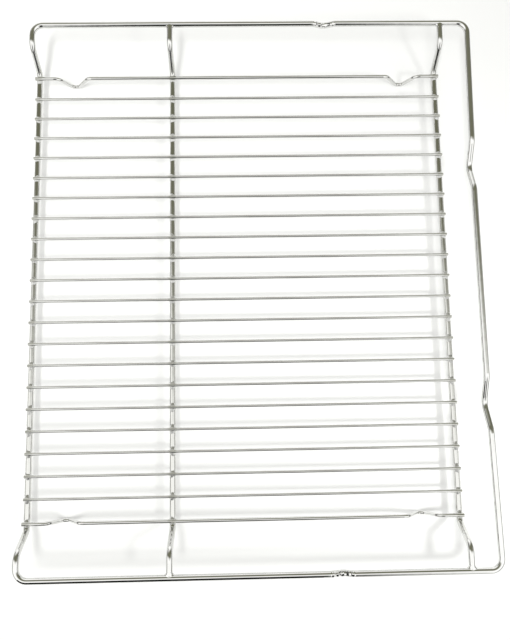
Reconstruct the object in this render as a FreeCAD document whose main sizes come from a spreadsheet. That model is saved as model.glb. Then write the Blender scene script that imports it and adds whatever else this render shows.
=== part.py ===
"""Oven shelf rack of chrome plated wire: a bent rim, two bent supports and a row of cross wires.

X runs from side to side, Y from the low front to the raised back and Z up. The origin lies on the
surface that the four feet stand on, under the middle of the rack. All sizes are in millimetres.
"""
import math
import os

import FreeCAD
import Part
import Sketcher

SIZES = {
    # Outside of the rack: over the two side runs, and from the foot wires' front tips to the back run
    "overall_width": 455.0,
    "overall_depth": 375.0,
    # Wire stock
    "rim_diameter": 5.0,
    "support_diameter": 5.0,
    "cross_diameter": 2.5,
    "foot_diameter": 3.2,
    # Row of cross wires: overhangs are measured from the axis of the wire underneath
    "cross_count": 20,
    "end_spacing": 18.85,
    "cross_overhang": 2.1,
    "foot_overhang": 2.7,
    # Welds: how far a cross wire sinks into its carrier, and a support's end into the side run
    "cross_weld_depth": 0.4,
    "butt_weld_depth": 0.6,
    # Rise from the low grid to the side runs, the same on the rim and on both supports
    "rim_rise": 22.5,
    "rise_inset": 18.0,
    "rise_run": 14.5,
    "rise_lower_bend": 7.0,
    "rise_upper_bend": 10.0,
    "foot_wire_inset": 5.5,
    # Supports: the middle one behind the front run, the rear one ahead of the back run
    "middle_support_setback": 115.7,
    "rear_support_gap": 23.6,
    # Rim: corners, the pressed notch in each side run, and the two dips and the bow of the back run
    "corner_bend": 9.0,
    "notch_setback": 122.8,
    "notch_half_width": 9.0,
    "notch_depth": 3.5,
    "notch_bend": 10.0,
    "dip_offset": 98.6,
    "dip_half_width": 20.7,
    "dip_depth": 10.0,
    "dip_bend": 12.0,
    "back_bow": 2.6,
    # Feet: bends of the foot wires, set back from the front run and from the rear support
    "foot_setback": 28.7,
    "foot_flat": 5.0,
    "foot_inner_run": 11.0,
    "foot_outer_run": 9.5,
    "foot_depth": 14.3,
    "foot_shoulder_bend": 7.0,
    "foot_bottom_bend": 4.5,
}

# Places worked out from the sizes, as expressions on the sheet
SIDE_X = "((sizes.overall_width - sizes.rim_diameter) / 2)"
RISE_TOP_X = f"({SIDE_X} - sizes.rise_inset)"
RISE_BOTTOM_X = f"({RISE_TOP_X} - sizes.rise_run)"
FOOT_WIRE_X = f"({RISE_BOTTOM_X} - sizes.foot_wire_inset)"
CROSS_PITCH = f"(2 * ({FOOT_WIRE_X} - sizes.end_spacing) / (sizes.cross_count - 1))"
SUPPORT_END_X = f"({SIDE_X} - sizes.rim_diameter / 2 + sizes.butt_weld_depth)"
FRONT_Y = "(sizes.foot_overhang - sizes.overall_depth / 2)"
BACK_Y = "((sizes.overall_depth - sizes.rim_diameter) / 2)"
MIDDLE_SUPPORT_Y = f"({FRONT_Y} + sizes.middle_support_setback)"
REAR_SUPPORT_Y = f"({BACK_Y} - sizes.rear_support_gap)"
NOTCH_Y = f"({BACK_Y} - sizes.notch_setback)"
ROW_MIDDLE_Y = f"(({FRONT_Y} + {REAR_SUPPORT_Y}) / 2)"
ROW_HALF_SPAN = f"(({REAR_SUPPORT_Y} - {FRONT_Y}) / 2)"
FOOT_FLAT_START = f"({ROW_HALF_SPAN} - sizes.foot_setback - sizes.foot_flat / 2)"
CARRIER_TOP_Z = "(sizes.foot_depth + sizes.cross_weld_depth)"
CROSS_Z = "(sizes.foot_depth + sizes.cross_diameter / 2)"
FRONT_Z = f"({CARRIER_TOP_Z} - sizes.rim_diameter / 2)"
SUPPORT_Z = f"({CARRIER_TOP_Z} - sizes.support_diameter / 2)"
SIDE_Z = f"({FRONT_Z} + sizes.rim_rise)"

# Sketch references: the origin, and the points of a line or an arc
ORIGIN = (-1, 1)
START, END, CENTRE = 1, 2, 3


def make_sheet(document):
    """Puts every driving size into a spreadsheet cell with an alias."""
    sheet = document.addObject("Spreadsheet::Sheet", "sizes")
    for row, (alias, value) in enumerate(SIZES.items(), start=1):
        sheet.set(f"A{row}", alias)
        sheet.set(f"B{row}", str(value))
        sheet.setAlias(f"B{row}", alias)
    document.recompute()
    return sheet


def bend(before, corner, after, radius):
    """Gives the start, middle and end of the arc that rounds a corner between two straight runs."""
    arriving = (corner - before).normalize()
    leaving = (after - corner).normalize()
    half_turn = arriving.getAngle(leaving) / 2
    inward = (leaving - arriving).normalize()
    tangent_length = radius * math.tan(half_turn)
    middle = corner + inward * (radius / math.cos(half_turn) - radius)
    return corner - arriving * tangent_length, middle, corner + leaving * tangent_length


def turns_left(before, corner, after):
    """Says whether a flat path turns counter-clockwise at a corner."""
    return (corner - before).cross(after - corner).z > 0


def bent_wire(points, radii):
    """Makes a wire of straight runs through the points, with an arc at each point between the ends."""
    edges = []
    run_start = points[0]
    for index, radius in enumerate(radii, start=1):
        arc_start, middle, arc_end = bend(*points[index - 1:index + 2], radius)
        edges.append(Part.LineSegment(run_start, arc_start).toShape())
        edges.append(Part.Arc(arc_start, middle, arc_end).toShape())
        run_start = arc_end
    edges.append(Part.LineSegment(run_start, points[-1]).toShape())
    return Part.Wire(edges)


def origin_plane(body, role):
    """Finds one of a body's own origin planes."""
    return next(plane for plane in body.Origin.OriginFeatures if plane.Role == role)


def attached_sketch(body, name, role):
    """Adds a sketch on one of a body's origin planes."""
    sketch = body.newObject("Sketcher::SketchObject", name)
    sketch.AttachmentSupport = (origin_plane(body, role), [""])
    sketch.MapMode = "FlatFace"
    return sketch


def constrain(sketch, kind, *elements):
    """Adds a constraint that has no size."""
    sketch.addConstraint(Sketcher.Constraint(kind, *elements))


def drive(sketch, kind, elements, size):
    """Adds a constraint whose value follows an expression on the sheet."""
    value = sketch.evalExpression(size)
    index = sketch.addConstraint(Sketcher.Constraint(kind, *elements, value))
    sketch.setExpression(f"Constraints[{index}]", size)


def place_point(sketch, point, along, height):
    """Ties a sketch point to the sheet. A coordinate of None is that of the origin."""
    if along is None:
        constrain(sketch, "Vertical", *ORIGIN, *point)
    else:
        drive(sketch, "DistanceX", (*ORIGIN, *point), along)
    if height is None:
        constrain(sketch, "Horizontal", *ORIGIN, *point)
    else:
        drive(sketch, "DistanceY", (*ORIGIN, *point), height)


def draw_bent_path(sketch, corners, bends):
    """Draws straight runs through the corners with an arc at each bend, all sizes tied to the sheet."""
    points = []
    for corner in corners:
        along, height = (sketch.evalExpression(size) if size else 0.0 for size in corner)
        points.append(FreeCAD.Vector(along, height, 0.0))
    corner_marks = []
    for point, corner in zip(points, corners):
        mark = (sketch.addGeometry(Part.Point(point), True), START)
        place_point(sketch, mark, *corner)
        corner_marks.append(mark)
    arcs = []
    for index, radius in enumerate(bends, start=1):
        arcs.append(bend(*points[index - 1:index + 2], sketch.evalExpression(radius)))
    run_starts = [points[0]] + [arc_end for _, _, arc_end in arcs]
    run_ends = [arc_start for arc_start, _, _ in arcs] + [points[-1]]
    runs = [sketch.addGeometry(Part.LineSegment(*ends)) for ends in zip(run_starts, run_ends)]
    constrain(sketch, "Coincident", runs[0], START, *corner_marks[0])
    constrain(sketch, "Coincident", runs[-1], END, *corner_marks[-1])
    for index, radius in enumerate(bends, start=1):
        arc_points = arcs[index - 1]
        first, last = START, END
        if not turns_left(*points[index - 1:index + 2]):
            arc_points = reversed(arc_points)
            first, last = END, START
        arc = sketch.addGeometry(Part.Arc(*arc_points))
        constrain(sketch, "PointOnObject", *corner_marks[index], runs[index - 1])
        constrain(sketch, "PointOnObject", *corner_marks[index], runs[index])
        constrain(sketch, "Tangent", runs[index - 1], END, arc, first)
        constrain(sketch, "Tangent", arc, last, runs[index], START)
        drive(sketch, "Radius", (arc,), radius)


def draw_wire_section(sketch, diameter, height):
    """Draws the round section of a wire at a height over the sketch's origin."""
    radius = f"{diameter} / 2"
    middle = FreeCAD.Vector(0.0, sketch.evalExpression(height) if height else 0.0, 0.0)
    outline = Part.Circle(middle, FreeCAD.Vector(0, 0, 1), sketch.evalExpression(radius))
    circle = sketch.addGeometry(outline)
    place_point(sketch, (circle, CENTRE), None, height)
    drive(sketch, "Radius", (circle,), radius)


def make_bent_body(document, name, planes, corners, bends, diameter):
    """Sweeps one half of a bent wire from its middle outwards and mirrors it."""
    path_plane, section_plane = planes
    body = document.addObject("PartDesign::Body", name)
    path = attached_sketch(body, f"{name}_path", path_plane)
    draw_bent_path(path, corners, bends)
    section = attached_sketch(body, f"{name}_section", section_plane)
    draw_wire_section(section, diameter, corners[0][1])
    document.recompute()
    half = body.newObject("PartDesign::AdditivePipe", f"{name}_half")
    half.Profile = section
    half.Spine = (path, [f"Edge{index}" for index in range(1, len(path.Shape.Edges) + 1)])
    document.recompute()
    whole = body.newObject("PartDesign::Mirrored", f"{name}_whole")
    whole.Originals = [half]
    whole.MirrorPlane = (origin_plane(body, section_plane), [""])
    body.Tip = whole
    return body


def move_to(piece, **places):
    """Ties a piece's position to expressions on the sheet."""
    for axis, place in places.items():
        piece.setExpression(f"Placement.Base.{axis}", place)


def make_cross_wire(document, index):
    """Makes one thin straight cross wire, counted from the left."""
    wire = document.addObject("Part::Cylinder", f"cross_wire_{index:02d}")
    along_y = FreeCAD.Rotation(FreeCAD.Vector(1, 0, 0), -90)
    wire.Placement = FreeCAD.Placement(FreeCAD.Vector(), along_y)
    wire.setExpression("Radius", "sizes.cross_diameter / 2")
    wire.setExpression("Height", f"2 * ({ROW_HALF_SPAN} + sizes.cross_overhang)")
    move_to(
        wire,
        x=f"({index} - (sizes.cross_count + 1) / 2) * {CROSS_PITCH}",
        y=f"{FRONT_Y} - sizes.cross_overhang",
        z=CROSS_Z,
    )
    return wire


def make_foot_wire(document, name, side):
    """Makes a thick cross wire with two feet. Its path is drawn over the level of the feet."""
    corners = [
        (None, "sizes.foot_depth"),
        (f"{FOOT_FLAT_START} - sizes.foot_inner_run", "sizes.foot_depth"),
        (FOOT_FLAT_START, None),
        (f"{FOOT_FLAT_START} + sizes.foot_flat", None),
        (f"{FOOT_FLAT_START} + sizes.foot_flat + sizes.foot_outer_run", "sizes.foot_depth"),
        (f"{ROW_HALF_SPAN} + sizes.foot_overhang", "sizes.foot_depth"),
    ]
    shoulder, bottom = "sizes.foot_shoulder_bend", "sizes.foot_bottom_bend"
    bends = [shoulder, bottom, bottom, shoulder]
    planes = ("YZ_Plane", "XZ_Plane")
    body = make_bent_body(document, name, planes, corners, bends, "sizes.foot_diameter")
    move_to(body, x=f"{side} * {FOOT_WIRE_X}", y=ROW_MIDDLE_Y, z="sizes.foot_diameter / 2")
    return body


def cut_seats(document, name, body, neighbours):
    """Cuts the seats of the welded neighbours into a wire."""
    seated = document.addObject("Part::Compound", f"{name}_neighbours")
    seated.Links = neighbours
    wire = document.addObject("Part::Cut", name)
    wire.Base = body
    wire.Tool = seated
    return wire


def make_support_wire(document, name, place_y, neighbours):
    """Makes a support wire: low under the cross wires, rising at both ends to butt on the side runs."""
    rise = f"({SIDE_Z} - {SUPPORT_Z})"
    corners = [(None, None), (RISE_BOTTOM_X, None), (RISE_TOP_X, rise), (SUPPORT_END_X, rise)]
    bends = ["sizes.rise_lower_bend", "sizes.rise_upper_bend"]
    planes = ("XZ_Plane", "YZ_Plane")
    body = make_bent_body(document, f"{name}_bent", planes, corners, bends, "sizes.support_diameter")
    move_to(body, y=place_y, z=SUPPORT_Z)
    return cut_seats(document, name, body, neighbours)


def rim_half_path(sheet):
    """Makes the axis of the rim's right half, from the middle of the back run to that of the front run."""
    side_x, rise_top_x, rise_bottom_x = map(sheet.evalExpression, (SIDE_X, RISE_TOP_X, RISE_BOTTOM_X))
    front_y, notch_y, back_y = map(sheet.evalExpression, (FRONT_Y, NOTCH_Y, BACK_Y))
    front_z, side_z = map(sheet.evalExpression, (FRONT_Z, SIDE_Z))
    dip_start = sheet.dip_offset - sheet.dip_half_width
    dip_end = sheet.dip_offset + sheet.dip_half_width

    def back_point(x, drop):
        """Gives a point of the back run, which leans in from the corner as far as the dip's inner end."""
        lean = sheet.back_bow * (side_x - x) / (side_x - dip_start)
        return FreeCAD.Vector(x, back_y - lean, side_z - drop)

    def side_point(y, drop):
        """Gives a point of the side run."""
        return FreeCAD.Vector(side_x, y, side_z - drop)

    stations = [
        (back_point(dip_start, 0), sheet.dip_bend),
        (back_point(sheet.dip_offset, sheet.dip_depth), sheet.dip_bend),
        (back_point(dip_end, 0), sheet.dip_bend),
        (side_point(back_y, 0), sheet.corner_bend),
        (side_point(notch_y + sheet.notch_half_width, 0), sheet.notch_bend),
        (side_point(notch_y, sheet.notch_depth), sheet.notch_bend),
        (side_point(notch_y - sheet.notch_half_width, 0), sheet.notch_bend),
        (side_point(front_y, 0), sheet.corner_bend),
        (FreeCAD.Vector(rise_top_x, front_y, side_z), sheet.rise_upper_bend),
        (FreeCAD.Vector(rise_bottom_x, front_y, front_z), sheet.rise_lower_bend),
    ]
    points = [point for point, _ in stations]
    radii = [radius for _, radius in stations]
    back_middle = FreeCAD.Vector(0.0, back_y - sheet.back_bow, side_z)
    front_middle = FreeCAD.Vector(0.0, front_y, front_z)
    return bent_wire([back_middle] + points + [front_middle], radii)


def make_rim_wire(document, sheet, neighbours):
    """Makes the closed rim: one half swept along its axis, its mirror image, and the welded seats."""
    path = document.addObject("Part::Feature", "rim_half_axis")
    path.Shape = rim_half_path(sheet)
    section = document.addObject("Part::Circle", "rim_section")
    across_x = FreeCAD.Rotation(FreeCAD.Vector(0, 1, 0), 90)
    section.Placement = FreeCAD.Placement(FreeCAD.Vector(), across_x)
    section.setExpression("Radius", "sizes.rim_diameter / 2")
    move_to(section, y=f"{BACK_Y} - sizes.back_bow", z=SIDE_Z)
    half = document.addObject("Part::Sweep", "rim_right_half")
    half.Sections = [section]
    half.Spine = (path, [f"Edge{index}" for index in range(1, len(path.Shape.Edges) + 1)])
    half.Solid = True
    mirrored = document.addObject("Part::Mirroring", "rim_left_half")
    mirrored.Source = half
    mirrored.Normal = FreeCAD.Vector(1, 0, 0)
    loop = document.addObject("Part::Fuse", "rim_loop")
    loop.Base = half
    loop.Tool = mirrored
    loop.Refine = True
    return cut_seats(document, "rim_wire", loop, neighbours)


def build_rack():
    """Builds the document and gives the list of its pieces."""
    document = FreeCAD.newDocument("oven_shelf_rack")
    sheet = make_sheet(document)
    row = [make_cross_wire(document, index) for index in range(1, int(sheet.cross_count) + 1)]
    row.append(make_foot_wire(document, "left_foot_wire", -1))
    row.append(make_foot_wire(document, "right_foot_wire", 1))
    rim = make_rim_wire(document, sheet, row)
    middle = make_support_wire(document, "middle_support_wire", MIDDLE_SUPPORT_Y, row + [rim])
    rear = make_support_wire(document, "rear_support_wire", REAR_SUPPORT_Y, row + [rim])
    document.recompute()
    for item in document.Objects:
        if "Invalid" in item.State or "Error" in item.State:
            raise RuntimeError(f"{item.Label} failed to build: {item.State}")
    return [rim, middle, rear] + row


def write_pieces(pieces):
    """Checks every piece and writes each one to a STEP file named after it."""
    for piece in pieces:
        if piece.Shape.isNull() or not piece.Shape.isValid() or len(piece.Shape.Solids) != 1:
            raise RuntimeError(f"{piece.Label} is not one valid solid")
    os.makedirs("parts", exist_ok=True)
    for piece in pieces:
        piece.Shape.exportStep(f"parts/{piece.Label}.step")


write_pieces(build_rack())
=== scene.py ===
"""Looks of a chrome plated oven shelf rack: bright wires, weld beads, wire tips and a pale studio table.

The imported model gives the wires. This script adds the small metal that welding leaves behind, plates
everything, and sets the table, the light and the camera. All places are in metres in the frame of the
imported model.
"""
import math
import random
from typing import NamedTuple

import bpy
from bpy.props import FloatProperty, FloatVectorProperty, IntProperty, PointerProperty
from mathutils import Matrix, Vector


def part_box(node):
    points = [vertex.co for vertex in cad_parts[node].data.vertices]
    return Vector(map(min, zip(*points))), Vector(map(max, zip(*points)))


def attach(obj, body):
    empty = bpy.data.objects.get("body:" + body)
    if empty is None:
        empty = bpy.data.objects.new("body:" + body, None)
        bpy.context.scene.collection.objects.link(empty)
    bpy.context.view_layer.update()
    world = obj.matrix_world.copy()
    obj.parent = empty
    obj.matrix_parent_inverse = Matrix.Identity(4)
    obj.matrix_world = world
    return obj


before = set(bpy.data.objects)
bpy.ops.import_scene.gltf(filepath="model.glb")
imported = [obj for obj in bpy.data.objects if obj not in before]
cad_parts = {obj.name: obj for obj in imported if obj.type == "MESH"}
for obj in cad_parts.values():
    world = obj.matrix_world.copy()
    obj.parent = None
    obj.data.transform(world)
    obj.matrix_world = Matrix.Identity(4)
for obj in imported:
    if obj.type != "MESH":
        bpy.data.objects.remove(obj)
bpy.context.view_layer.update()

bl_info = {
    "name": "Oven Shelf Rack",
    "version": (1, 0, 0),
    "blender": (4, 5, 0),
    "location": "3D View > Sidebar > Oven Shelf",
    "description": "Plates the wires of an oven shelf rack, adds its welds and sets it on a studio table",
    "category": "Object",
}

CROSS_WIRES = sorted(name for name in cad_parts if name.startswith("cross_wire"))
FOOT_WIRES = ["left_foot_wire", "right_foot_wire"]
SUPPORT_WIRES = ["middle_support_wire", "rear_support_wire"]


class Carrier(NamedTuple):
    """A thick run along X that the row of wires is welded on."""

    y: float
    z: float
    radius: float


class RowWire(NamedTuple):
    """A wire of the row, straight along Y at the level of the grid."""

    x: float
    z: float
    radius: float
    front: float
    back: float


def support_carrier(name):
    """Reads the low run of a support wire from the frame."""
    low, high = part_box(name)
    radius = (high.y - low.y) / 2
    return Carrier((low.y + high.y) / 2, low.z + radius, radius)


def front_carrier(radius):
    """Reads the low front run of the rim wire from the frame."""
    low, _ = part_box("rim_wire")
    return Carrier(low.y + radius, low.z + radius, radius)


def row_wire(name):
    """Reads a wire of the row from the frame."""
    low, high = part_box(name)
    radius = (high.x - low.x) / 2
    return RowWire((low.x + high.x) / 2, high.z - radius, radius, low.y, high.y)


SUPPORTS = [support_carrier(name) for name in SUPPORT_WIRES]
RIM_RADIUS = SUPPORTS[0].radius
CARRIERS = [front_carrier(RIM_RADIUS), *SUPPORTS]
CROSS_ROW = [row_wire(name) for name in CROSS_WIRES]
FOOT_ROW = [row_wire(name) for name in FOOT_WIRES]
SIDE_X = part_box("rim_wire")[1].x - RIM_RADIUS
SIDE_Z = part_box("rim_wire")[1].z - RIM_RADIUS

# Where a value fades from 0 to 1. Distances from the middle plane, out to the side runs:
SIDE_FADE = (SIDE_X - 3 * RIM_RADIUS, SIDE_X - 2 * RIM_RADIUS)
PRESS_FADE = (SIDE_X - 4 * RIM_RADIUS, SIDE_X - 3 * RIM_RADIUS)
# Heights over a carrier's axis, in weld reaches:
WELD_TOP_FADE = (2, 3)
# Noise, from 0 to 1:
HAZE_FADE = (0.42, 0.68)
# Directions in the painted room. Tilt is 0 upward and 90 to the right, side is 90 to the back, in degrees:
CEILING_LEFT = (-78, -40)
CEILING_RIGHT = (-17, 9)
CEILING_ENDS = (48, 72)
SHADE_TILT = (10, 42)
SHADE_SIDE = (6, 24)
END_WALLS = (20, 45)
# Parts of a direction, from -1 to 1:
RIGHT_WALL = (0.2, 0.5)
LOW_WALL_TOP = (0.24, 0.38)

# How far the edges of the ceiling lean, in degrees of tilt for each degree of side:
CEILING_SKEW_BACK = 0.5
CEILING_SKEW_FRONT = 0.3

# How much of a colour is taken:
HAZE_SHARE = 0.7
GRAIN_SHARE = 0.3
ROW_WELD_SHARE = 0.8
FRAME_WELD_SHARE = 0.35
CEILING_END_SHARE = 0.8
RIGHT_WALL_SHARE = 0.6

# Layers of finer noise over the coarsest one:
HAZE_DETAIL = 4.0
GRAIN_DETAIL = 3.0
RIPPLE_DETAIL = 1.0
RIDGE_DETAIL = 0.0

# The part of a reach in which dull plate or press marks have their full strength:
WELD_CORE = 0.3
PRESS_CORE = 0.6

# Ripples in the length of a hazy patch, and the dullness of the fillets in weld roughnesses:
RIPPLES_PER_PATCH = 3
FILLET_DULLNESS = 3

# Least and greatest size of a weld, against the stated one:
LEAST_WELD, MOST_WELD = 0.85, 1.15
# Strength of the swells round a fillet, by their number:
SWELLS = {2: 1.0, 3: 0.6}
# Steps from the top of a flare to its foot, and rings round a tip:
FLARE_STEPS = 5
TIP_RINGS = 5
# Parts of a wire's radius. The depth of hidden edges:
FILLET_DEPTH = 0.2
FLARE_DEPTH = 0.3
# The size of hidden ends:
FLARE_CORE = 0.8
TIP_CORE = 0.9
# How high the foot of a flare reaches on the side run:
FLARE_FOOT = 0.92
# The flat middle of a tip, and the rounding about it:
TIP_FLAT = 0.04
TIP_ROUND = 0.955

# The camera's sensor in millimetres, and the nearest place that it sees:
SENSOR_WIDTH = 36
NEAREST_SEEN = 0.01


class ChromeFinish(bpy.types.PropertyGroup):
    """Colours and surface of the plating."""

    plate_color: FloatVectorProperty(
        name="Plate", description="Bright chrome plate", subtype="COLOR", size=4, min=0, max=1,
        default=(0.76, 0.76, 0.75, 1),
    )
    haze_color: FloatVectorProperty(
        name="Haze", description="Thinner, slightly warm plate between the bright places", subtype="COLOR",
        size=4, min=0, max=1, default=(0.70, 0.70, 0.685, 1),
    )
    # Darker plate, mixed in near the carriers' axes by the welds, where the plate is also rougher
    weld_dark_color: FloatVectorProperty(
        name="Crevice", description="Dull plate in the corners by the welds", subtype="COLOR", size=4,
        min=0, max=1, default=(0.52, 0.52, 0.48, 1),
    )
    polish: FloatProperty(
        name="Polish", description="Roughness of the bright plate", default=0.02, min=0, max=1,
    )
    haze_roughness: FloatProperty(
        name="Haze roughness", description="Roughness that the haze adds", default=0.03, min=0, max=1,
    )
    weld_roughness: FloatProperty(
        name="Weld roughness", description="Roughness that the welds add", default=0.12, min=0, max=1,
    )
    haze_size: FloatProperty(
        name="Haze size", description="Length of a hazy patch", default=0.022, unit="LENGTH",
    )
    grain_length: FloatProperty(
        name="Grain length", description="Length of a drawing mark along the wire", default=0.012,
        unit="LENGTH",
    )
    grain_width: FloatProperty(
        name="Grain width", description="Width of a drawing mark", default=0.0005, unit="LENGTH",
    )
    ripple_depth: FloatProperty(
        name="Ripple depth", description="Depth of the slow ripple in the plate", default=0.00006,
        unit="LENGTH",
    )
    grain_depth: FloatProperty(
        name="Grain depth", description="Depth of the drawing marks", default=0.000004, unit="LENGTH",
    )
    notch_place: FloatProperty(
        name="Notch place", description="Where the sides are notched, along the rack", default=0.0622,
        unit="LENGTH",
    )
    notch_reach: FloatProperty(
        name="Notch reach", description="How far the press marks run from the notch", default=0.0105,
        unit="LENGTH",
    )
    ridge_width: FloatProperty(
        name="Ridge width", description="Width of one flank of a press mark", default=0.0019, unit="LENGTH",
    )
    ridge_slope: FloatProperty(
        name="Ridge slope", description="Slope of the flanks of the press marks", default=0.5, min=0, max=1,
    )
    # Within this reach of a carrier's axis the plate is darker and rougher
    weld_reach: FloatProperty(
        name="Weld reach", description="How far from a carrier's axis the plate is dull", default=0.0045,
        unit="LENGTH",
    )


class WeldShape(bpy.types.PropertyGroup):
    """Sizes of the metal at the welds and of the cut wire tips."""

    fillet_rise: FloatProperty(
        name="Fillet rise", description="How far weld metal climbs up a row wire", default=0.0009,
        unit="LENGTH",
    )
    fillet_spread: FloatProperty(
        name="Fillet spread", description="How far weld metal spreads on the wire underneath", default=0.0022,
        unit="LENGTH",
    )
    fillet_fullness: FloatProperty(
        name="Fillet fullness", description="From 0, a hollow fillet, to 1, a straight one", default=0.97,
        min=0, max=1,
    )
    unevenness: FloatProperty(
        name="Unevenness", description="How much a fillet swells and thins round its wire", default=0.22,
        min=0, max=1,
    )
    fillet_steps: IntProperty(name="Fillet steps", description="Steps round a seat", default=32, min=8)
    ring_steps: IntProperty(
        name="Ring steps", description="Steps half round a wire, twice as many as across a fillet",
        default=12, min=6,
    )
    flare_length: FloatProperty(
        name="Flare length", description="How far a butt weld runs along the support", default=0.0022,
        unit="LENGTH",
    )
    flare_spread: FloatProperty(
        name="Flare spread", description="How far a butt weld spreads along the side run", default=0.0016,
        unit="LENGTH",
    )
    tip_height: FloatProperty(
        name="Tip height", description="Height of the rounded end of a cross wire", default=0.0005,
        unit="LENGTH",
    )
    seed: IntProperty(name="Seed", description="Start of the uneven welds", default=7)


class StageSetting(bpy.types.PropertyGroup):
    """Table, light and camera."""

    table_color: FloatVectorProperty(
        name="Table", description="White table top", subtype="COLOR", size=4, min=0, max=1,
        default=(0.90, 0.907, 0.885, 1),
    )
    table_glow: FloatProperty(
        name="Table glow", description="Share of the table top that shows as plain white", default=0.4,
        min=0, max=1,
    )
    table_size: FloatProperty(
        name="Table size", description="Length of the table's sides", default=8.0, unit="LENGTH",
    )
    wall_color: FloatVectorProperty(
        name="Walls", description="Pale walls round the table", subtype="COLOR", size=4, min=0, max=1,
        default=(1.0, 1.0, 0.985, 1),
    )
    ceiling_color: FloatVectorProperty(
        name="Ceiling", description="Shaded ceiling over the left half of the rack", subtype="COLOR", size=4,
        min=0, max=1, default=(0.15, 0.15, 0.107, 1),
    )
    low_color: FloatVectorProperty(
        name="Low walls", description="Dim things round the table, near its level", subtype="COLOR", size=4,
        min=0, max=1, default=(0.05, 0.05, 0.045, 1),
    )
    shade_color: FloatVectorProperty(
        name="Deep shade", description="Darkest part of the room, by the right side", subtype="COLOR", size=4,
        min=0, max=1, default=(0.03, 0.03, 0.027, 1),
    )
    room_strength: FloatProperty(
        name="Room", description="Strength of the room's light", default=1.03, min=0,
    )
    mirror_strength: FloatProperty(
        name="Mirrored room", description="Strength of the room as the plate shows it", default=1.38, min=0,
    )
    backdrop_color: FloatVectorProperty(
        name="Backdrop", description="Pale backdrop behind the table", subtype="COLOR", size=4, min=0, max=1,
        default=(0.70, 0.705, 0.69, 1),
    )
    key_power: FloatProperty(
        name="High lamp", description="Power of the long high lamp", default=7.0, min=0,
    )
    key_place: FloatVectorProperty(
        name="High lamp place", description="Where the long high lamp hangs", subtype="TRANSLATION", size=3,
        unit="LENGTH", default=(0.54, -0.45, 2.0),
    )
    key_length: FloatProperty(
        name="High lamp length", description="Length of the high lamp, from side to side", default=0.9,
        unit="LENGTH",
    )
    key_width: FloatProperty(
        name="High lamp width", description="Width of the high lamp", default=0.34, unit="LENGTH",
    )
    key_target: FloatVectorProperty(
        name="High lamp target", description="Where the high lamp points, before the front of the rack",
        subtype="TRANSLATION", size=3, unit="LENGTH", default=(-0.35, -0.7, 0.0),
    )
    key_spread: FloatProperty(
        name="High lamp spread", description="Angle of the high lamp's beam", default=math.radians(65),
        subtype="ANGLE",
    )
    back_power: FloatProperty(
        name="Back lamp", description="Power of the lamp by the back", default=0.5, min=0,
    )
    back_place: FloatVectorProperty(
        name="Back lamp place", description="Where the lamp by the back hangs", subtype="TRANSLATION", size=3,
        unit="LENGTH", default=(0.26, 0.52, 0.60),
    )
    back_size: FloatProperty(
        name="Back lamp size", description="Diameter of the lamp by the back", default=0.12, unit="LENGTH",
    )
    back_target: FloatVectorProperty(
        name="Back lamp target", description="Where the lamp by the back points, at the right rear corner",
        subtype="TRANSLATION", size=3, unit="LENGTH", default=(0.12, 0.20, 0.0),
    )
    back_spread: FloatProperty(
        name="Back lamp spread", description="Angle of the back lamp's beam", default=math.radians(64),
        subtype="ANGLE",
    )
    fill_power: FloatProperty(
        name="Fill lamp", description="Power of the wide lamp behind", default=0.24, min=0,
    )
    fill_place: FloatVectorProperty(
        name="Fill lamp place", description="Where the wide lamp hangs", subtype="TRANSLATION", size=3,
        unit="LENGTH", default=(-0.75, 0.75, 0.90),
    )
    fill_size: FloatProperty(
        name="Fill lamp size", description="Diameter of the wide lamp behind", default=0.5, unit="LENGTH",
    )
    fill_target: FloatVectorProperty(
        name="Fill lamp target", description="Where the wide lamp points, at the left rear corner",
        subtype="TRANSLATION", size=3, unit="LENGTH", default=(-0.25, 0.30, 0.0),
    )
    fill_spread: FloatProperty(
        name="Fill lamp spread", description="Angle of the wide lamp's beam", default=math.radians(60),
        subtype="ANGLE",
    )
    card_color: FloatVectorProperty(
        name="Card", description="Dark card by the right side, which draws dark edges in the plate",
        subtype="COLOR", size=4, min=0, max=1, default=(0.02, 0.02, 0.02, 1),
    )
    card_place: FloatVectorProperty(
        name="Card place", description="Middle of the foot of the dark card", subtype="TRANSLATION", size=3,
        unit="LENGTH", default=(0.33, -0.12, 0.0),
    )
    card_length: FloatProperty(
        name="Card length", description="Length of the dark card along the rack", default=0.36, unit="LENGTH",
    )
    card_height: FloatProperty(
        name="Card height", description="Height of the dark card", default=0.20, unit="LENGTH",
    )
    camera_place: FloatVectorProperty(
        name="Camera place", description="Where the camera stands", subtype="TRANSLATION", size=3,
        unit="LENGTH", default=(0.09314, -0.01082, 0.51959),
    )
    camera_turn: FloatVectorProperty(
        name="Camera turn", description="How the camera is turned", subtype="EULER", size=3, unit="ROTATION",
        default=(math.radians(7.493), math.radians(-1.033), math.radians(88.993)),
    )
    camera_lens: FloatProperty(name="Lens", description="Focal length in millimetres", default=34.45, min=1)


class Signal:
    """A shader socket that takes part in sums: each operator on it adds a Math node."""

    def __init__(self, sheet, socket):
        self.sheet = sheet
        self.socket = socket

    def __add__(self, other):
        return self.sheet.math("ADD", self, other)

    def __sub__(self, other):
        return self.sheet.math("SUBTRACT", self, other)

    def __rsub__(self, other):
        return self.sheet.math("SUBTRACT", other, self)

    def __mul__(self, other):
        return self.sheet.math("MULTIPLY", self, other)

    __radd__ = __add__
    __rmul__ = __mul__


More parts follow.
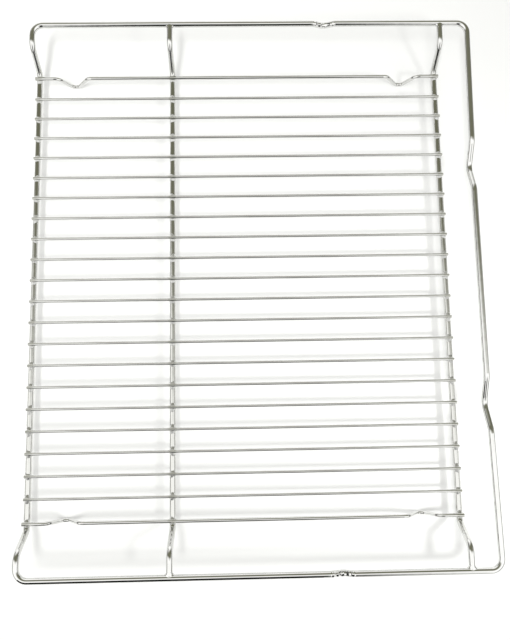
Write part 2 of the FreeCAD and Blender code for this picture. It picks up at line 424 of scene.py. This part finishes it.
class NodeSheet:
    """Writes nodes into an emptied node tree."""

    def __init__(self, owner):
        owner.use_nodes = True
        self.tree = owner.node_tree
        self.tree.nodes.clear()

    def node(self, kind, settings=None, sockets=None, output=0):
        """Adds a node, sets it up, fills or links its sockets and gives one of its outputs."""
        node = self.tree.nodes.new(kind)
        for name, value in (settings or {}).items():
            setattr(node, name, value)
        for key, value in (sockets or {}).items():
            if isinstance(value, Signal):
                self.tree.links.new(value.socket, node.inputs[key])
            else:
                node.inputs[key].default_value = value
        return Signal(self, node.outputs[output]) if node.outputs else None

    def math(self, operation, first, second=0.0):
        """Adds a Math node."""
        return self.node("ShaderNodeMath", {"operation": operation}, {0: first, 1: second})

    def step(self, value, start, end):
        """Rises smoothly from 0 to 1 as the value goes from start to end."""
        return self.node(
            "ShaderNodeMapRange",
            {"interpolation_type": "SMOOTHSTEP"},
            {"Value": value, "From Min": start, "From Max": end},
        )

    def mix_color(self, factor, first, second):
        """Mixes two colours."""
        return self.node("ShaderNodeMix", {"data_type": "RGBA"}, {0: factor, 6: first, 7: second}, 2)

    def scaled(self, vector, factors):
        """Multiplies a vector by three factors."""
        return self.node("ShaderNodeVectorMath", {"operation": "MULTIPLY"}, {0: vector, 1: factors})

    def split(self, vector):
        """Gives the three parts of a vector."""
        separate = self.node("ShaderNodeSeparateXYZ", None, {0: vector}).socket.node
        return [Signal(self, part) for part in separate.outputs]

    def noise(self, vector, size, detail):
        """Adds noise with patches of a given size, in the units of the vector."""
        return self.node("ShaderNodeTexNoise", None, {"Vector": vector, "Scale": 1 / size, "Detail": detail})


def grain_coordinates(sheet, place, finish, lengthwise):
    """Stretches places along the wire: along Y for the row and the sides, along X between the sides."""
    along = 1 / finish.grain_length
    across = 1 / finish.grain_width
    along_y = sheet.scaled(place, (across, along, along))
    if lengthwise:
        return along_y
    along_x = sheet.scaled(place, (along, across, along))
    x, _, _ = sheet.split(place)
    on_side = sheet.step(sheet.math("ABSOLUTE", x), *SIDE_FADE)
    return sheet.node("ShaderNodeMix", {"data_type": "VECTOR"}, {0: on_side, 4: along_x, 5: along_y}, 1)


def weld_nearness(sheet, place, reach):
    """Gives 1 on a carrier's axis, and 0 farther from it than the reach or high above it."""
    _, y, z = sheet.split(place)
    near = 0.0
    for carrier in CARRIERS:
        distance = sheet.math("ABSOLUTE", y - carrier.y)
        near = 1 - sheet.step(distance, WELD_CORE * reach, reach) + near
    start, end = (CARRIERS[0].z + reaches * reach for reaches in WELD_TOP_FADE)
    return near * (1 - sheet.step(z, start, end))


def press_marks(sheet, place, finish):
    """Gives the height of the ridges that pressing leaves at the notches of the sides."""
    x, y, _ = sheet.split(place)
    offset = y - finish.notch_place
    distance = sheet.math("ABSOLUTE", offset)
    near = 1 - sheet.step(distance, PRESS_CORE * finish.notch_reach, finish.notch_reach)
    near *= sheet.step(sheet.math("ABSOLUTE", x), *PRESS_FADE)
    both_flanks = 2 * finish.ridge_width
    uneven = sheet.noise(place, both_flanks, RIDGE_DETAIL) * finish.ridge_width
    return near * finish.ridge_slope * sheet.math("PINGPONG", offset + uneven, finish.ridge_width)


def chrome_material(name, lengthwise, weld_share=0.0, dullness=0.0):
    """Makes bright plate with drawing marks along the wire, hazy patches and darker, rougher plate by the
    welds.
    """
    finish = bpy.context.scene.chrome_finish
    material = bpy.data.materials.new(name)
    sheet = NodeSheet(material)
    place = sheet.node("ShaderNodeTexCoord", output="Object")
    haze = sheet.step(sheet.noise(place, finish.haze_size, HAZE_DETAIL), *HAZE_FADE)
    grain = sheet.noise(grain_coordinates(sheet, place, finish, lengthwise), 1.0, GRAIN_DETAIL)
    ripple = sheet.noise(place, finish.haze_size / RIPPLES_PER_PATCH, RIPPLE_DETAIL)
    hazing = haze * HAZE_SHARE + grain * GRAIN_SHARE
    color = sheet.mix_color(hazing, finish.plate_color, finish.haze_color)
    roughness = haze * finish.haze_roughness
    if weld_share:
        # Darker, rougher plate near the carriers' axes, by the welds
        weld_darkening = weld_nearness(sheet, place, finish.weld_reach) * weld_share
        color = sheet.mix_color(weld_darkening, color, finish.weld_dark_color)
        roughness += weld_darkening * finish.weld_roughness
    roughness += finish.polish + dullness
    height = ripple * finish.ripple_depth + grain * finish.grain_depth
    if not lengthwise:
        height += press_marks(sheet, place, finish)
    normal = sheet.node("ShaderNodeBump", None, {"Strength": 1.0, "Distance": 1.0, "Height": height})
    plate = sheet.node(
        "ShaderNodeBsdfPrincipled",
        None,
        {"Base Color": color, "Metallic": 1.0, "Roughness": roughness, "Normal": normal},
    )
    sheet.node("ShaderNodeOutputMaterial", None, {"Surface": plate})
    return material


def table_material(stage):
    """Makes the white table top, which keeps the shadows of the wires."""
    material = bpy.data.materials.new("white_table")
    sheet = NodeSheet(material)
    matte = sheet.node("ShaderNodeBsdfDiffuse", None, {"Color": stage.table_color})
    glow = sheet.node("ShaderNodeEmission")
    to_camera = sheet.node("ShaderNodeLightPath", output="Is Camera Ray")
    in_plate = sheet.node("ShaderNodeLightPath", output="Is Glossy Ray")
    seen = sheet.math("MAXIMUM", to_camera, in_plate)
    surface = sheet.node("ShaderNodeMixShader", None, {0: seen * stage.table_glow, 1: matte, 2: glow})
    sheet.node("ShaderNodeOutputMaterial", None, {"Surface": surface})
    return material


def card_material(stage):
    """Makes the dark matte of the card."""
    material = bpy.data.materials.new("dark_card")
    sheet = NodeSheet(material)
    matte = sheet.node("ShaderNodeBsdfDiffuse", None, {"Color": stage.card_color})
    sheet.node("ShaderNodeOutputMaterial", None, {"Surface": matte})
    return material


def ring(middle, first, second, steps):
    """Gives the points of an ellipse with two half axes."""
    points = []
    for step in range(steps):
        angle = 2 * math.pi * step / steps
        points.append(middle + first * math.cos(angle) + second * math.sin(angle))
    return points


def skin(rings, closed):
    """Joins rings of points into a closed skin: a loop of rings, or a run with a face at each end."""
    count = len(rings[0])
    points = [point for one in rings for point in one]
    faces = []
    for index in range(len(rings) if closed else len(rings) - 1):
        start = index * count
        other = (index + 1) % len(rings) * count
        for step in range(count):
            after = (step + 1) % count
            faces.append((start + step, start + after, other + after, other + step))
    if not closed:
        last = len(points) - count
        faces.append(tuple(reversed(range(count))))
        faces.append(tuple(range(last, last + count)))
    return points, faces


def add_piece(name, skins, material):
    """Makes one object of several skins, which moves with the rack."""
    points, faces = [], []
    for skin_points, skin_faces in skins:
        shift = len(points)
        points.extend(skin_points)
        faces.extend(tuple(index + shift for index in face) for face in skin_faces)
    mesh = bpy.data.meshes.new(name)
    mesh.from_pydata(points, [], faces)
    if mesh.validate():
        raise RuntimeError(f"{name} has broken faces")
    mesh.shade_smooth()
    mesh.materials.append(material)
    piece = bpy.data.objects.new(name, mesh)
    bpy.context.scene.collection.objects.link(piece)
    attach(piece, "root")
    return piece


def add_sheet(scene, name, corners, material):
    """Adds a flat sheet with four corners."""
    mesh = bpy.data.meshes.new(name)
    mesh.from_pydata(corners, [], [(0, 1, 2, 3)])
    mesh.materials.append(material)
    flat = bpy.data.objects.new(name, mesh)
    scene.collection.objects.link(flat)
    return flat


def seat_point(carrier, wire, turn):
    """Gives a point of the line on which a row wire meets its carrier, for a turn round that line."""
    rise = wire.z - carrier.z
    widest = math.acos((rise - carrier.radius) / wire.radius)
    lean = widest * math.sin(turn)
    height = rise - wire.radius * math.cos(lean)
    reach = math.sqrt(max(carrier.radius ** 2 - height ** 2, 0.0))
    along = math.copysign(reach, math.cos(turn))
    return Vector((wire.x + wire.radius * math.sin(lean), carrier.y + along, carrier.z + height))


def onto_wire(point, middle, direction, radius):
    """Moves a point straight in or out to the surface of a straight wire through the middle."""
    offset = point - middle
    lengthwise = direction * offset.dot(direction)
    return middle + lengthwise + (offset - lengthwise).normalized() * radius


def weld_fillet(carrier, wire, shape, chance):
    """Makes the uneven fillet of weld metal round the seat of a row wire."""
    starts = {count: chance.uniform(0, 2 * math.pi) for count in SWELLS}
    scale = chance.uniform(LEAST_WELD, MOST_WELD)
    small_turn = 0.01
    rings = []
    for step in range(shape.fillet_steps):
        turn = 2 * math.pi * (step + 0.5) / shape.fillet_steps
        seat = seat_point(carrier, wire, turn)
        after, before = (seat_point(carrier, wire, turn + move) for move in (small_turn, -small_turn))
        along = after - before
        wire_axis = Vector((wire.x, seat.y, wire.z))
        carrier_axis = Vector((seat.x, carrier.y, carrier.z))
        waves = sum(share * math.sin(count * turn + starts[count]) for count, share in SWELLS.items())
        swell = 1 + shape.unevenness * waves
        up_wire = along.cross(seat - wire_axis).normalized()
        off_seat = (seat - carrier_axis).cross(along).normalized()
        climb = up_wire * shape.fillet_rise * scale * swell
        spread = off_seat * shape.fillet_spread * scale * swell
        top = onto_wire(seat + climb, wire_axis, Vector((0, 1, 0)), wire.radius)
        top.y = min(max(top.y, wire.front + shape.tip_height), wire.back - shape.tip_height)
        foot = onto_wire(seat + spread, carrier_axis, Vector((1, 0, 0)), carrier.radius)
        hollow = seat.lerp((top + foot) / 2, shape.fillet_fullness)
        inside = (wire_axis - seat).normalized() + (carrier_axis - seat).normalized()
        profile = [seat + inside * FILLET_DEPTH * wire.radius]
        steps = shape.ring_steps // 2
        for share in (index / steps for index in range(steps + 1)):
            profile.append(top.lerp(hollow, share).lerp(hollow.lerp(foot, share), share))
        rings.append(profile)
    return skin(rings, closed=True)


def weld_flare(support, side, shape, chance):
    """Makes the flared butt weld of a support's end on a side run."""
    axis = Vector((side * SIDE_X, support.y, SIDE_Z))
    inward = Vector((-side, 0, 0))
    start = RIM_RADIUS + shape.flare_length
    spread = shape.flare_spread * chance.uniform(LEAST_WELD, MOST_WELD)
    profiles = []
    for step in range(2 * shape.ring_steps):
        angle = 2 * math.pi * step / (2 * shape.ring_steps)
        across, up = math.cos(angle), math.sin(angle)
        foot_z = FLARE_FOOT * RIM_RADIUS * up
        foot_out = math.sqrt(RIM_RADIUS ** 2 - foot_z ** 2)
        foot = Vector((foot_out, (support.radius + spread) * across, foot_z))
        corner = Vector((RIM_RADIUS, support.radius * across, support.radius * up))
        top = Vector((start, support.radius * across, support.radius * up))
        profile = [Vector((start, FLARE_CORE * top.y, FLARE_CORE * top.z))]
        for share in (index / FLARE_STEPS for index in range(FLARE_STEPS + 1)):
            profile.append(top.lerp(corner, share).lerp(corner.lerp(foot, share), share))
        profiles.append([axis + inward * local.x + Vector((0, local.y, local.z)) for local in profile])
    rings = list(zip(*profiles))
    buried = [point - inward * FLARE_DEPTH * RIM_RADIUS for point in rings[-1]]
    return skin([*rings, buried], closed=True)


def wire_tip(wire, end_y, direction, shape):
    """Makes the rounded end of a cross wire."""
    middle = Vector((wire.x, end_y, wire.z))
    outward = Vector((0, direction, 0))
    side = Vector((1, 0, 0))
    up = side.cross(outward)
    sunk = middle - outward * shape.tip_height
    rings = [ring(sunk, side * wire.radius * TIP_CORE, up * wire.radius * TIP_CORE, 2 * shape.ring_steps)]
    for step in range(TIP_RINGS):
        angle = math.radians(90 * step / TIP_RINGS)
        radius = wire.radius * (TIP_FLAT + TIP_ROUND * math.cos(angle))
        height = shape.tip_height * math.sin(angle)
        rings.append(ring(middle + outward * height, side * radius, up * radius, 2 * shape.ring_steps))
    return skin(rings, closed=False)


class OVENSHELF_OT_plate_wires(bpy.types.Operator):
    """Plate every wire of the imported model"""

    bl_idname = "ovenshelf.plate_wires"
    bl_label = "Plate the Wires"

    def execute(self, context):
        lengthwise = chrome_material("chrome_row", lengthwise=True, weld_share=ROW_WELD_SHARE)
        crosswise = chrome_material("chrome_frame", lengthwise=False, weld_share=FRAME_WELD_SHARE)
        for name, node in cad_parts.items():
            node.data.materials.clear()
            node.data.materials.append(lengthwise if name in CROSS_WIRES + FOOT_WIRES else crosswise)
        return {"FINISHED"}


class OVENSHELF_OT_cross_welds(bpy.types.Operator):
    """Add the fillet round each seat where a wire of the row crosses a carrier"""

    bl_idname = "ovenshelf.cross_welds"
    bl_label = "Weld the Crossings"

    def execute(self, context):
        shape = context.scene.weld_shape
        chance = random.Random(shape.seed)
        fillets = []
        for carrier in CARRIERS:
            for wire in CROSS_ROW + FOOT_ROW:
                fillets.append(weld_fillet(carrier, wire, shape, chance))
        dullness = FILLET_DULLNESS * context.scene.chrome_finish.weld_roughness
        material = chrome_material("chrome_fillets", lengthwise=False, dullness=dullness)
        add_piece("cross_welds", fillets, material)
        return {"FINISHED"}


class OVENSHELF_OT_butt_welds(bpy.types.Operator):
    """Add the flared welds where the supports butt on the side runs"""

    bl_idname = "ovenshelf.butt_welds"
    bl_label = "Weld the Supports"

    def execute(self, context):
        shape = context.scene.weld_shape
        chance = random.Random(shape.seed + 1)
        flares = []
        for support in SUPPORTS:
            for side in (-1, 1):
                flares.append(weld_flare(support, side, shape, chance))
        material = chrome_material("chrome_flares", lengthwise=False)
        add_piece("butt_weld_flares", flares, material)
        return {"FINISHED"}


class OVENSHELF_OT_wire_tips(bpy.types.Operator):
    """Round the cut ends of the cross wires"""

    bl_idname = "ovenshelf.wire_tips"
    bl_label = "Round the Tips"

    def execute(self, context):
        shape = context.scene.weld_shape
        tips = []
        for wire in CROSS_ROW:
            tips.append(wire_tip(wire, wire.front, -1, shape))
            tips.append(wire_tip(wire, wire.back, 1, shape))
        material = chrome_material("chrome_tips", lengthwise=True)
        add_piece("cross_wire_tips", tips, material)
        return {"FINISHED"}


class OVENSHELF_OT_stage(bpy.types.Operator):
    """Set the table, the card, the room, the lamps and the camera"""

    bl_idname = "ovenshelf.stage"
    bl_label = "Set the Stage"

    def execute(self, context):
        scene = context.scene
        stage = scene.stage_setting
        scene.view_settings.view_transform = "Standard"
        self.lay_table(scene, stage)
        self.stand_card(scene, stage)
        self.paint_room(scene, stage)
        self.hang_lamps(scene, stage)
        self.place_camera(scene, stage)
        return {"FINISHED"}

    def lay_table(self, scene, stage):
        """Lays the table top under the feet."""
        half = stage.table_size / 2
        corners = [(-half, -half, 0), (half, -half, 0), (half, half, 0), (-half, half, 0)]
        table = add_sheet(scene, "table_top", corners, table_material(stage))

    def stand_card(self, scene, stage):
        """Stands a dark card by the right side, seen only in the plate."""
        foot = Vector(stage.card_place)
        along = Vector((0, stage.card_length / 2, 0))
        up = Vector((0, 0, stage.card_height))
        corners = [foot - along, foot + along, foot + along + up, foot - along + up]
        card = add_sheet(scene, "dark_card", corners, card_material(stage))
        card.visible_camera = False
        card.visible_diffuse = False
        card.visible_shadow = False

    def paint_room(self, scene, stage):
        """Paints the room that lights the rack and that the plate mirrors, and a pale backdrop."""
        scene.world = bpy.data.worlds.new("room")
        sheet = NodeSheet(scene.world)
        direction = sheet.node("ShaderNodeTexCoord", output="Generated")
        x, y, z = sheet.split(direction)
        tilt = sheet.math("ARCTAN2", x, z) * math.degrees(1)
        side = sheet.math("ARCSINE", y) * math.degrees(1)
        off_middle = sheet.math("ABSOLUTE", side)
        left_skew = CEILING_SKEW_BACK * sheet.math("MAXIMUM", side, 0.0)
        right_skew = CEILING_SKEW_FRONT * sheet.math("MINIMUM", side, 0.0)
        ceiling = sheet.step(tilt + left_skew, *CEILING_LEFT)
        ceiling *= 1 - sheet.step(tilt - right_skew, *CEILING_RIGHT)
        ceiling *= 1 - CEILING_END_SHARE * sheet.step(off_middle, *CEILING_ENDS)
        shade = sheet.step(tilt, *SHADE_TILT) * (1 - sheet.step(off_middle, *SHADE_SIDE))
        right_wall = RIGHT_WALL_SHARE * sheet.step(x, *RIGHT_WALL)
        all_round = sheet.math("MAXIMUM", sheet.step(off_middle, *END_WALLS), right_wall)
        low_walls = (1 - sheet.step(z, *LOW_WALL_TOP)) * all_round
        color = sheet.mix_color(ceiling, stage.wall_color, stage.ceiling_color)
        color = sheet.mix_color(low_walls, color, stage.low_color)
        color = sheet.mix_color(shade, color, stage.shade_color)
        room = self.background(sheet, color, stage.room_strength)
        mirrored = self.background(sheet, color, stage.mirror_strength)
        backdrop = self.background(sheet, stage.backdrop_color, 1.0)
        in_plate = sheet.node("ShaderNodeLightPath", output="Is Glossy Ray")
        surface = sheet.node("ShaderNodeMixShader", None, {0: in_plate, 1: room, 2: mirrored})
        seen = sheet.node("ShaderNodeLightPath", output="Is Camera Ray")
        surface = sheet.node("ShaderNodeMixShader", None, {0: seen, 1: surface, 2: backdrop})
        sheet.node("ShaderNodeOutputWorld", None, {"Surface": surface})

    def background(self, sheet, color, strength):
        """Adds light from all round."""
        return sheet.node("ShaderNodeBackground", None, {"Color": color, "Strength": strength})

    def hang_lamps(self, scene, stage):
        """Hangs a long high lamp and a small one by the back, for the shadows, and a wide one to fill."""
        for name in ("key", "back", "fill"):
            light = bpy.data.lights.new(f"{name}_lamp", "AREA")
            light.energy = getattr(stage, f"{name}_power")
            light.spread = getattr(stage, f"{name}_spread")
            if name == "key":
                light.shape = "RECTANGLE"
                light.size, light.size_y = stage.key_length, stage.key_width
            else:
                light.shape = "DISK"
                light.size = getattr(stage, f"{name}_size")
            lamp = bpy.data.objects.new(light.name, light)
            lamp.location = getattr(stage, f"{name}_place")
            toward = (lamp.location - Vector(getattr(stage, f"{name}_target"))).normalized()
            lamp.rotation_euler = (-math.asin(toward.y), math.atan2(toward.x, toward.z), 0)
            lamp.visible_camera = False
            lamp.visible_glossy = False
            scene.collection.objects.link(lamp)

    def place_camera(self, scene, stage):
        """Stands the camera where the photograph was taken from."""
        lens = bpy.data.cameras.new("camera")
        lens.lens = stage.camera_lens
        lens.sensor_width = SENSOR_WIDTH
        lens.clip_start = NEAREST_SEEN
        camera = bpy.data.objects.new("camera", lens)
        camera.location = stage.camera_place
        camera.rotation_euler = stage.camera_turn
        scene.collection.objects.link(camera)
        scene.camera = camera


OPERATORS = (
    OVENSHELF_OT_plate_wires,
    OVENSHELF_OT_cross_welds,
    OVENSHELF_OT_butt_welds,
    OVENSHELF_OT_wire_tips,
    OVENSHELF_OT_stage,
)
SETTINGS = {"chrome_finish": ChromeFinish, "weld_shape": WeldShape, "stage_setting": StageSetting}


class OVENSHELF_PT_rack(bpy.types.Panel):
    """Lists the steps and their settings"""

    bl_idname = "OVENSHELF_PT_rack"
    bl_label = "Oven Shelf Rack"
    bl_space_type = "VIEW_3D"
    bl_region_type = "UI"
    bl_category = "Oven Shelf"

    def draw(self, context):
        for operator in OPERATORS:
            self.layout.operator(operator.bl_idname)
        for name, group in SETTINGS.items():
            box = self.layout.box()
            settings = getattr(context.scene, name)
            for setting in group.__annotations__:
                box.prop(settings, setting)


CLASSES = (*SETTINGS.values(), *OPERATORS, OVENSHELF_PT_rack)


def register():
    """Registers the classes and puts the settings on the scene."""
    for item in CLASSES:
        bpy.utils.register_class(item)
    for name, group in SETTINGS.items():
        setattr(bpy.types.Scene, name, PointerProperty(type=group))


def unregister():
    """Takes the settings and the classes away again."""
    for name in SETTINGS:
        delattr(bpy.types.Scene, name)
    for item in reversed(CLASSES):
        bpy.utils.unregister_class(item)


def main():
    """Builds the looks in order."""
    register()
    bpy.ops.ovenshelf.plate_wires()
    bpy.ops.ovenshelf.cross_welds()
    bpy.ops.ovenshelf.butt_welds()
    bpy.ops.ovenshelf.wire_tips()
    bpy.ops.ovenshelf.stage()


if __name__ == "__main__":
    main()
